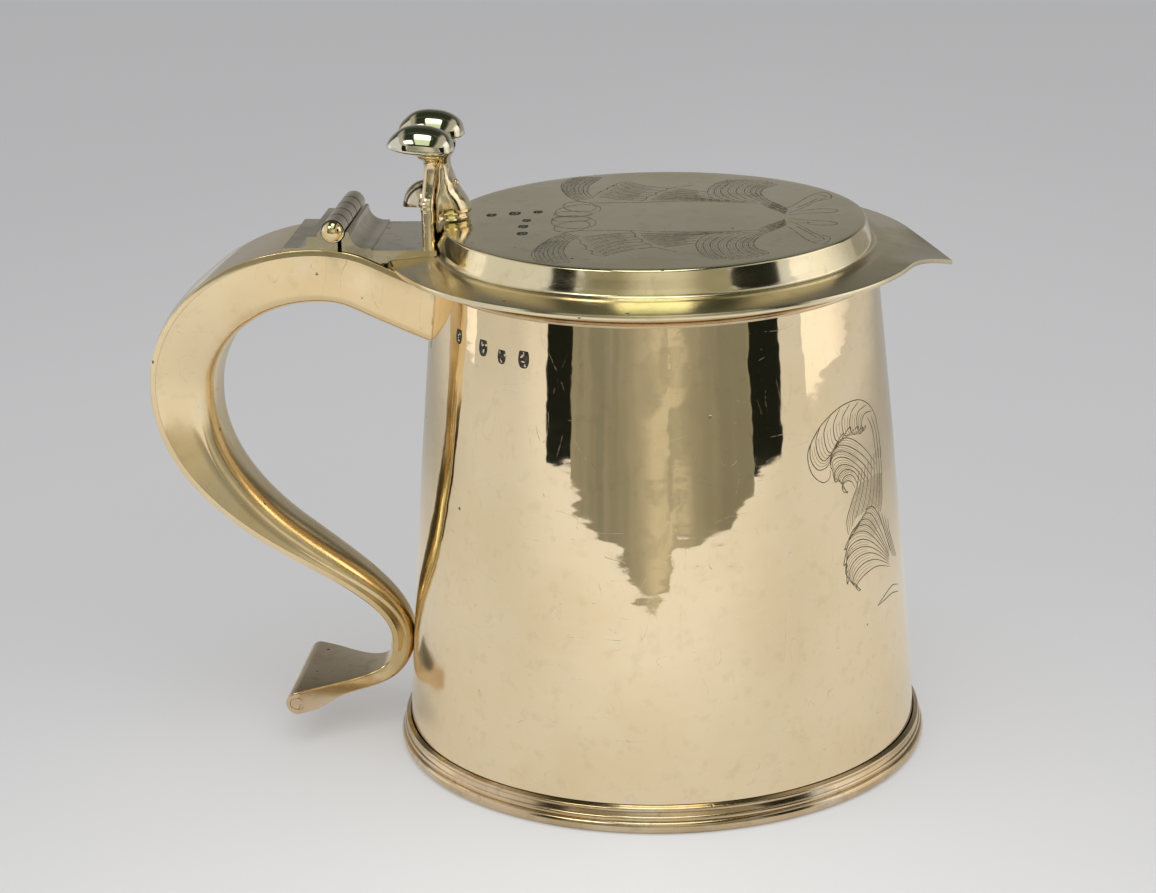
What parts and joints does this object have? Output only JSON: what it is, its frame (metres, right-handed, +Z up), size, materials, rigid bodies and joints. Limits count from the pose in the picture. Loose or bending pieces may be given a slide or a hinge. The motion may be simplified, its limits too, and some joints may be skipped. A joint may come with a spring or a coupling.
{
  "type": "lidded tankard",
  "caption": "Silver-gilt lidded tankard: tapering drum on a moulded foot, flat stepped lid with a pointed peak, scroll handle, cusped thumbpiece and a knuckled hinge.",
  "frame": {"origin": "centre of the bounding box in plan, on the plane that the foot stands on", "axes": "+X from the handle toward the lid's peak, +Y to the left of that, +Z up along the drum's axis"},
  "size_m": [0.2128, 0.143, 0.1697],
  "materials": {
    "gilt_body": "hand-planished polish over silver-gilt",
    "gilt_handle": "polished silver-gilt",
    "gilt_lid": "polished silver-gilt, lightly worn",
    "gilt_hinge": "polished, rubbed pale",
    "gilt_worn": "worn gilding with dark pits",
    "gilt_thumbpiece": "bright polish, rubbed pale",
    "gilt_inside": "deep satin gilding"
  },
  "bodies": {
    "vessel": {"body_drum": "gilt_body", "body_base": "gilt_inside", "foot_moulding": "gilt_body", "lip_moulding": "gilt_body", "handle_channel": "gilt_handle", "handle_back_strap": "gilt_handle", "handle_tail": "gilt_worn", "handle_hinge_plate": "gilt_hinge", "hinge_knuckle_handle_1": "gilt_hinge", "hinge_knuckle_handle_2": "gilt_hinge", "hinge_knuckle_handle_3": "gilt_hinge", "hinge_pin": "gilt_hinge"},
    "lid": {"lid_cover": "gilt_lid", "lid_bezel": "gilt_inside", "lid_hinge_plate": "gilt_hinge", "hinge_knuckle_lid_1": "gilt_hinge", "hinge_knuckle_lid_2": "gilt_hinge", "thumbpiece_stem": "gilt_worn", "thumbpiece_spur": "gilt_thumbpiece", "thumbpiece_scroll": "gilt_worn", "thumbpiece_cusp_near": "gilt_thumbpiece", "thumbpiece_cusp_far": "gilt_thumbpiece"}
  },
  "joints": [
    {"name": "lid_hinge", "type": "hinge", "parent": "vessel", "child": "lid", "pos_m": [-0.0531, 0, 0.1435], "axis": [0, -1, 0], "range_deg": [0, 110]}
  ]
}
